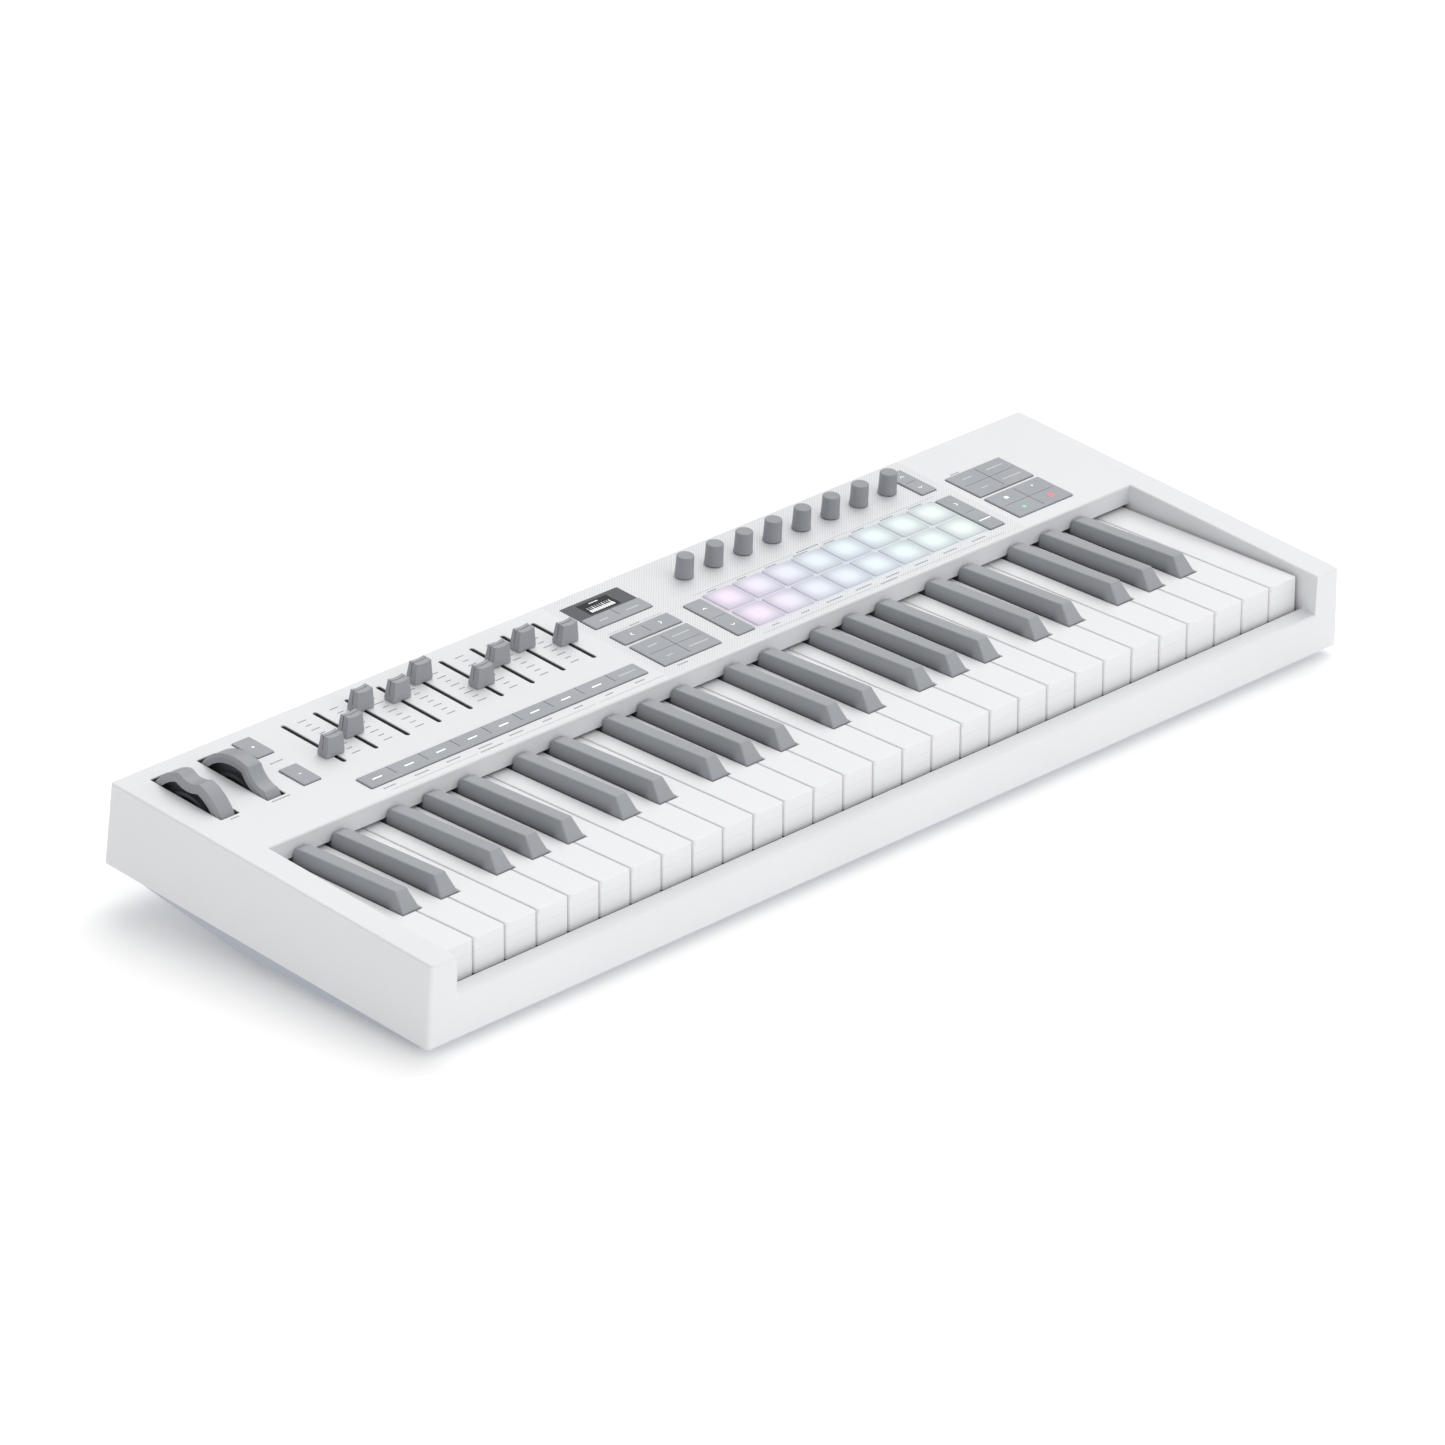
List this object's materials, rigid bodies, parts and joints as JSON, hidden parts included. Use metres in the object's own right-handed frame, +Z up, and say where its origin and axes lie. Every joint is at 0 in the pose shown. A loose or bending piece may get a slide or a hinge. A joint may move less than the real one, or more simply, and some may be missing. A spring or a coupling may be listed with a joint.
{
  "type": "midi keyboard",
  "caption": "Desktop keyboard controller with piano keys, pitch and modulation wheels, faders, endless encoders, lit pads, a small display and rear sockets.",
  "frame": {"origin": "centre of the footprint on the table top, on the bottom of the rubber feet", "axes": "+X to the player's right along the keyboard, +Y away from the player, +Z up"},
  "size_m": [0.7286, 0.2616, 0.0875],
  "materials": {
    "case_plastic": "fine matte texture, slightly bluish white",
    "tray_plastic": "matte light blue-grey",
    "white_key_plastic": "smooth satin gloss white",
    "grey_key_plastic": "matte mid grey",
    "grey_cap_plastic": "matte mid grey",
    "grey_button_silicone": "matte grey silicone",
    "pad_silicone": "translucent white silicone lit from below",
    "display_glass": "smoked clear window",
    "display_dark": "black display panel",
    "frame_plastic": "moulded black chassis plastic",
    "steel": "plain bright steel",
    "felt": "dense felt",
    "circuit_board": "green solder mask",
    "dome_rubber": "moulded silicone",
    "socket_black": "black moulded socket",
    "foot_rubber": "black rubber"
  },
  "bodies": {
    "case": {"top_case": "case_plastic", "bottom_case": "tray_plastic", "keybed_frame": "frame_plastic", "key_hinge_rod": "steel", "key_contact_board": "circuit_board", "key_dome_strip": "dome_rubber", "key_stop_felts": "felt", "control_board": "circuit_board", "display_window": "display_glass", "display_panel": "display_dark", "wheel_bracket": "frame_plastic", "wheel_axles": "steel", "fader_pots": "steel", "encoder_bodies": "steel", "connector_board": "circuit_board", "usb_socket": "steel", "midi_socket": "socket_black", "pedal_socket": "socket_black", "rubber_feet": "foot_rubber", "case_screws": "steel"},
    "white_keys_octave_1": {"white_keys_octave_1": "white_key_plastic"},
    "black_keys_octave_1": {"black_keys_octave_1": "grey_key_plastic"},
    "white_keys_octave_2": {"white_keys_octave_2": "white_key_plastic"},
    "black_keys_octave_2": {"black_keys_octave_2": "grey_key_plastic"},
    "white_keys_octave_3": {"white_keys_octave_3": "white_key_plastic"},
    "black_keys_octave_3": {"black_keys_octave_3": "grey_key_plastic"},
    "white_keys_octave_4": {"white_keys_octave_4": "white_key_plastic"},
    "black_keys_octave_4": {"black_keys_octave_4": "grey_key_plastic"},
    "pitch_wheel": {"pitch_wheel": "grey_cap_plastic"},
    "modulation_wheel": {"modulation_wheel": "grey_cap_plastic"},
    "fader_cap_1": {"fader_cap_1": "grey_cap_plastic"},
    "fader_cap_2": {"fader_cap_2": "grey_cap_plastic"},
    "fader_cap_3": {"fader_cap_3": "grey_cap_plastic"},
    "fader_cap_4": {"fader_cap_4": "grey_cap_plastic"},
    "fader_cap_5": {"fader_cap_5": "grey_cap_plastic"},
    "fader_cap_6": {"fader_cap_6": "grey_cap_plastic"},
    "fader_cap_7": {"fader_cap_7": "grey_cap_plastic"},
    "fader_cap_8": {"fader_cap_8": "grey_cap_plastic"},
    "fader_cap_9": {"fader_cap_9": "grey_cap_plastic"},
    "encoder_knob_1": {"encoder_knob_1": "grey_cap_plastic"},
    "encoder_knob_2": {"encoder_knob_2": "grey_cap_plastic"},
    "encoder_knob_3": {"encoder_knob_3": "grey_cap_plastic"},
    "encoder_knob_4": {"encoder_knob_4": "grey_cap_plastic"},
    "encoder_knob_5": {"encoder_knob_5": "grey_cap_plastic"},
    "encoder_knob_6": {"encoder_knob_6": "grey_cap_plastic"},
    "encoder_knob_7": {"encoder_knob_7": "grey_cap_plastic"},
    "encoder_knob_8": {"encoder_knob_8": "grey_cap_plastic"},
    "octave_down_button": {"octave_down_button": "grey_button_silicone"},
    "octave_up_button": {"octave_up_button": "grey_button_silicone"},
    "fader_button_strip": {"fader_button_strip": "grey_button_silicone"},
    "display_buttons": {"display_buttons": "grey_button_silicone"},
    "track_buttons": {"track_buttons": "grey_button_silicone"},
    "scale_and_chord_buttons": {"scale_and_chord_buttons": "grey_button_silicone"},
    "pad_bank_buttons": {"pad_bank_buttons": "grey_button_silicone"},
    "encoder_bank_buttons": {"encoder_bank_buttons": "grey_button_silicone"},
    "scene_buttons": {"scene_buttons": "grey_button_silicone"},
    "capture_buttons": {"capture_buttons": "grey_button_silicone"},
    "transport_buttons": {"transport_buttons": "grey_button_silicone"},
    "pads_front_row": {"pads_front_row": "pad_silicone"},
    "pads_rear_row": {"pads_rear_row": "pad_silicone"}
  },
  "joints": [
    {"name": "white_keys_octave_1_press", "type": "hinge", "parent": "case", "child": "white_keys_octave_1", "pos_m": [0, 0.04439, 0.04697], "axis": [1, 0, 0], "range_deg": [0, 3.55], "stiffness_Nm_per_rad": 3.85, "springref_deg": -5.73},
    {"name": "black_keys_octave_1_press", "type": "hinge", "parent": "case", "child": "black_keys_octave_1", "pos_m": [0, 0.04439, 0.04697], "axis": [1, 0, 0], "range_deg": [0, 3.55], "stiffness_Nm_per_rad": 2.75, "springref_deg": -5.73},
    {"name": "white_keys_octave_2_press", "type": "hinge", "parent": "case", "child": "white_keys_octave_2", "pos_m": [0, 0.04439, 0.04697], "axis": [1, 0, 0], "range_deg": [0, 3.55], "stiffness_Nm_per_rad": 3.85, "springref_deg": -5.73},
    {"name": "black_keys_octave_2_press", "type": "hinge", "parent": "case", "child": "black_keys_octave_2", "pos_m": [0, 0.04439, 0.04697], "axis": [1, 0, 0], "range_deg": [0, 3.55], "stiffness_Nm_per_rad": 2.75, "springref_deg": -5.73},
    {"name": "white_keys_octave_3_press", "type": "hinge", "parent": "case", "child": "white_keys_octave_3", "pos_m": [0, 0.04439, 0.04697], "axis": [1, 0, 0], "range_deg": [0, 3.55], "stiffness_Nm_per_rad": 3.85, "springref_deg": -5.73},
    {"name": "black_keys_octave_3_press", "type": "hinge", "parent": "case", "child": "black_keys_octave_3", "pos_m": [0, 0.04439, 0.04697], "axis": [1, 0, 0], "range_deg": [0, 3.55], "stiffness_Nm_per_rad": 2.75, "springref_deg": -5.73},
    {"name": "white_keys_octave_4_press", "type": "hinge", "parent": "case", "child": "white_keys_octave_4", "pos_m": [0, 0.04439, 0.04697], "axis": [1, 0, 0], "range_deg": [0, 3.55], "stiffness_Nm_per_rad": 4.4, "springref_deg": -5.73},
    {"name": "black_keys_octave_4_press", "type": "hinge", "parent": "case", "child": "black_keys_octave_4", "pos_m": [0, 0.04439, 0.04697], "axis": [1, 0, 0], "range_deg": [0, 3.55], "stiffness_Nm_per_rad": 2.75, "springref_deg": -5.73},
    {"name": "pitch_bend", "type": "hinge", "parent": "case", "child": "pitch_wheel", "pos_m": [-0.3365, 0.08673, 0.05328], "axis": [-1, 0, 0], "range_deg": [-30, 30], "stiffness_Nm_per_rad": 0.06},
    {"name": "modulation_turn", "type": "hinge", "parent": "case", "child": "modulation_wheel", "pos_m": [-0.3025, 0.08673, 0.05328], "axis": [-1, 0, 0], "range_deg": [0, 66]},
    {"name": "fader_1_slide", "type": "slide", "parent": "case", "child": "fader_cap_1", "axis": [0, 0.9971, 0.0767], "range_m": [-0.0093, 0.0377]},
    {"name": "fader_2_slide", "type": "slide", "parent": "case", "child": "fader_cap_2", "axis": [0, 0.9971, 0.0767], "range_m": [-0.0193, 0.0277]},
    {"name": "fader_3_slide", "type": "slide", "parent": "case", "child": "fader_cap_3", "axis": [0, 0.9971, 0.0767], "range_m": [-0.0371, 0.0099]},
    {"name": "fader_4_slide", "type": "slide", "parent": "case", "child": "fader_cap_4", "axis": [0, 0.9971, 0.0767], "range_m": [-0.0326, 0.0144]},
    {"name": "fader_5_slide", "type": "slide", "parent": "case", "child": "fader_cap_5", "axis": [0, 0.9971, 0.0767], "range_m": [-0.0407, 0.0063]},
    {"name": "fader_6_slide", "type": "slide", "parent": "case", "child": "fader_cap_6", "axis": [0, 0.9971, 0.0767], "range_m": [-0.0151, 0.0319]},
    {"name": "fader_7_slide", "type": "slide", "parent": "case", "child": "fader_cap_7", "axis": [0, 0.9971, 0.0767], "range_m": [-0.0274, 0.0196]},
    {"name": "fader_8_slide", "type": "slide", "parent": "case", "child": "fader_cap_8", "axis": [0, 0.9971, 0.0767], "range_m": [-0.0321, 0.0149]},
    {"name": "fader_9_slide", "type": "slide", "parent": "case", "child": "fader_cap_9", "axis": [0, 0.9971, 0.0767], "range_m": [-0.022, 0.025]},
    {"name": "encoder_1_turn", "type": "hinge", "parent": "case", "child": "encoder_knob_1", "pos_m": [0.0547, 0.10084, 0.07393], "axis": [0, -0.0767, 0.9971], "continuous": true},
    {"name": "encoder_2_turn", "type": "hinge", "parent": "case", "child": "encoder_knob_2", "pos_m": [0.0787, 0.10084, 0.07393], "axis": [0, -0.0767, 0.9971], "continuous": true},
    {"name": "encoder_3_turn", "type": "hinge", "parent": "case", "child": "encoder_knob_3", "pos_m": [0.1027, 0.10084, 0.07393], "axis": [0, -0.0767, 0.9971], "continuous": true},
    {"name": "encoder_4_turn", "type": "hinge", "parent": "case", "child": "encoder_knob_4", "pos_m": [0.1267, 0.10084, 0.07393], "axis": [0, -0.0767, 0.9971], "continuous": true},
    {"name": "encoder_5_turn", "type": "hinge", "parent": "case", "child": "encoder_knob_5", "pos_m": [0.1507, 0.10084, 0.07393], "axis": [0, -0.0767, 0.9971], "continuous": true},
    {"name": "encoder_6_turn", "type": "hinge", "parent": "case", "child": "encoder_knob_6", "pos_m": [0.1747, 0.10084, 0.07393], "axis": [0, -0.0767, 0.9971], "continuous": true},
    {"name": "encoder_7_turn", "type": "hinge", "parent": "case", "child": "encoder_knob_7", "pos_m": [0.1987, 0.10084, 0.07393], "axis": [0, -0.0767, 0.9971], "continuous": true},
    {"name": "encoder_8_turn", "type": "hinge", "parent": "case", "child": "encoder_knob_8", "pos_m": [0.2227, 0.10084, 0.07393], "axis": [0, -0.0767, 0.9971], "continuous": true},
    {"name": "octave_down_button_press", "type": "slide", "parent": "case", "child": "octave_down_button", "axis": [0, -0.0767, 0.9971], "range_m": [-0.0008, 0], "stiffness_N_per_m": 700, "springref_m": 0.001},
    {"name": "octave_up_button_press", "type": "slide", "parent": "case", "child": "octave_up_button", "axis": [0, -0.0767, 0.9971], "range_m": [-0.0008, 0], "stiffness_N_per_m": 700, "springref_m": 0.001},
    {"name": "fader_button_strip_press", "type": "slide", "parent": "case", "child": "fader_button_strip", "axis": [0, -0.0767, 0.9971], "range_m": [-0.0008, 0], "stiffness_N_per_m": 1500, "springref_m": 0.001},
    {"name": "display_buttons_press", "type": "slide", "parent": "case", "child": "display_buttons", "axis": [0, -0.0767, 0.9971], "range_m": [-0.0008, 0], "stiffness_N_per_m": 700, "springref_m": 0.001},
    {"name": "track_buttons_press", "type": "slide", "parent": "case", "child": "track_buttons", "axis": [0, -0.0767, 0.9971], "range_m": [-0.0008, 0], "stiffness_N_per_m": 700, "springref_m": 0.001},
    {"name": "scale_and_chord_buttons_press", "type": "slide", "parent": "case", "child": "scale_and_chord_buttons", "axis": [0, -0.0767, 0.9971], "range_m": [-0.0008, 0], "stiffness_N_per_m": 1000, "springref_m": 0.001},
    {"name": "pad_bank_buttons_press", "type": "slide", "parent": "case", "child": "pad_bank_buttons", "axis": [0, -0.0767, 0.9971], "range_m": [-0.0008, 0], "stiffness_N_per_m": 700, "springref_m": 0.001},
    {"name": "encoder_bank_buttons_press", "type": "slide", "parent": "case", "child": "encoder_bank_buttons", "axis": [0, -0.0767, 0.9971], "range_m": [-0.0008, 0], "stiffness_N_per_m": 700, "springref_m": 0.001},
    {"name": "scene_buttons_press", "type": "slide", "parent": "case", "child": "scene_buttons", "axis": [0, -0.0767, 0.9971], "range_m": [-0.0008, 0], "stiffness_N_per_m": 700, "springref_m": 0.001},
    {"name": "capture_buttons_press", "type": "slide", "parent": "case", "child": "capture_buttons", "axis": [0, -0.0767, 0.9971], "range_m": [-0.0008, 0], "stiffness_N_per_m": 1000, "springref_m": 0.001},
    {"name": "transport_buttons_press", "type": "slide", "parent": "case", "child": "transport_buttons", "axis": [0, -0.0767, 0.9971], "range_m": [-0.0008, 0], "stiffness_N_per_m": 1000, "springref_m": 0.001},
    {"name": "pads_front_row_press", "type": "slide", "parent": "case", "child": "pads_front_row", "axis": [0, -0.0767, 0.9971], "range_m": [-0.0005, 0], "stiffness_N_per_m": 3000, "springref_m": 0.0008},
    {"name": "pads_rear_row_press", "type": "slide", "parent": "case", "child": "pads_rear_row", "axis": [0, -0.0767, 0.9971], "range_m": [-0.0005, 0], "stiffness_N_per_m": 3000, "springref_m": 0.0008}
  ]
}
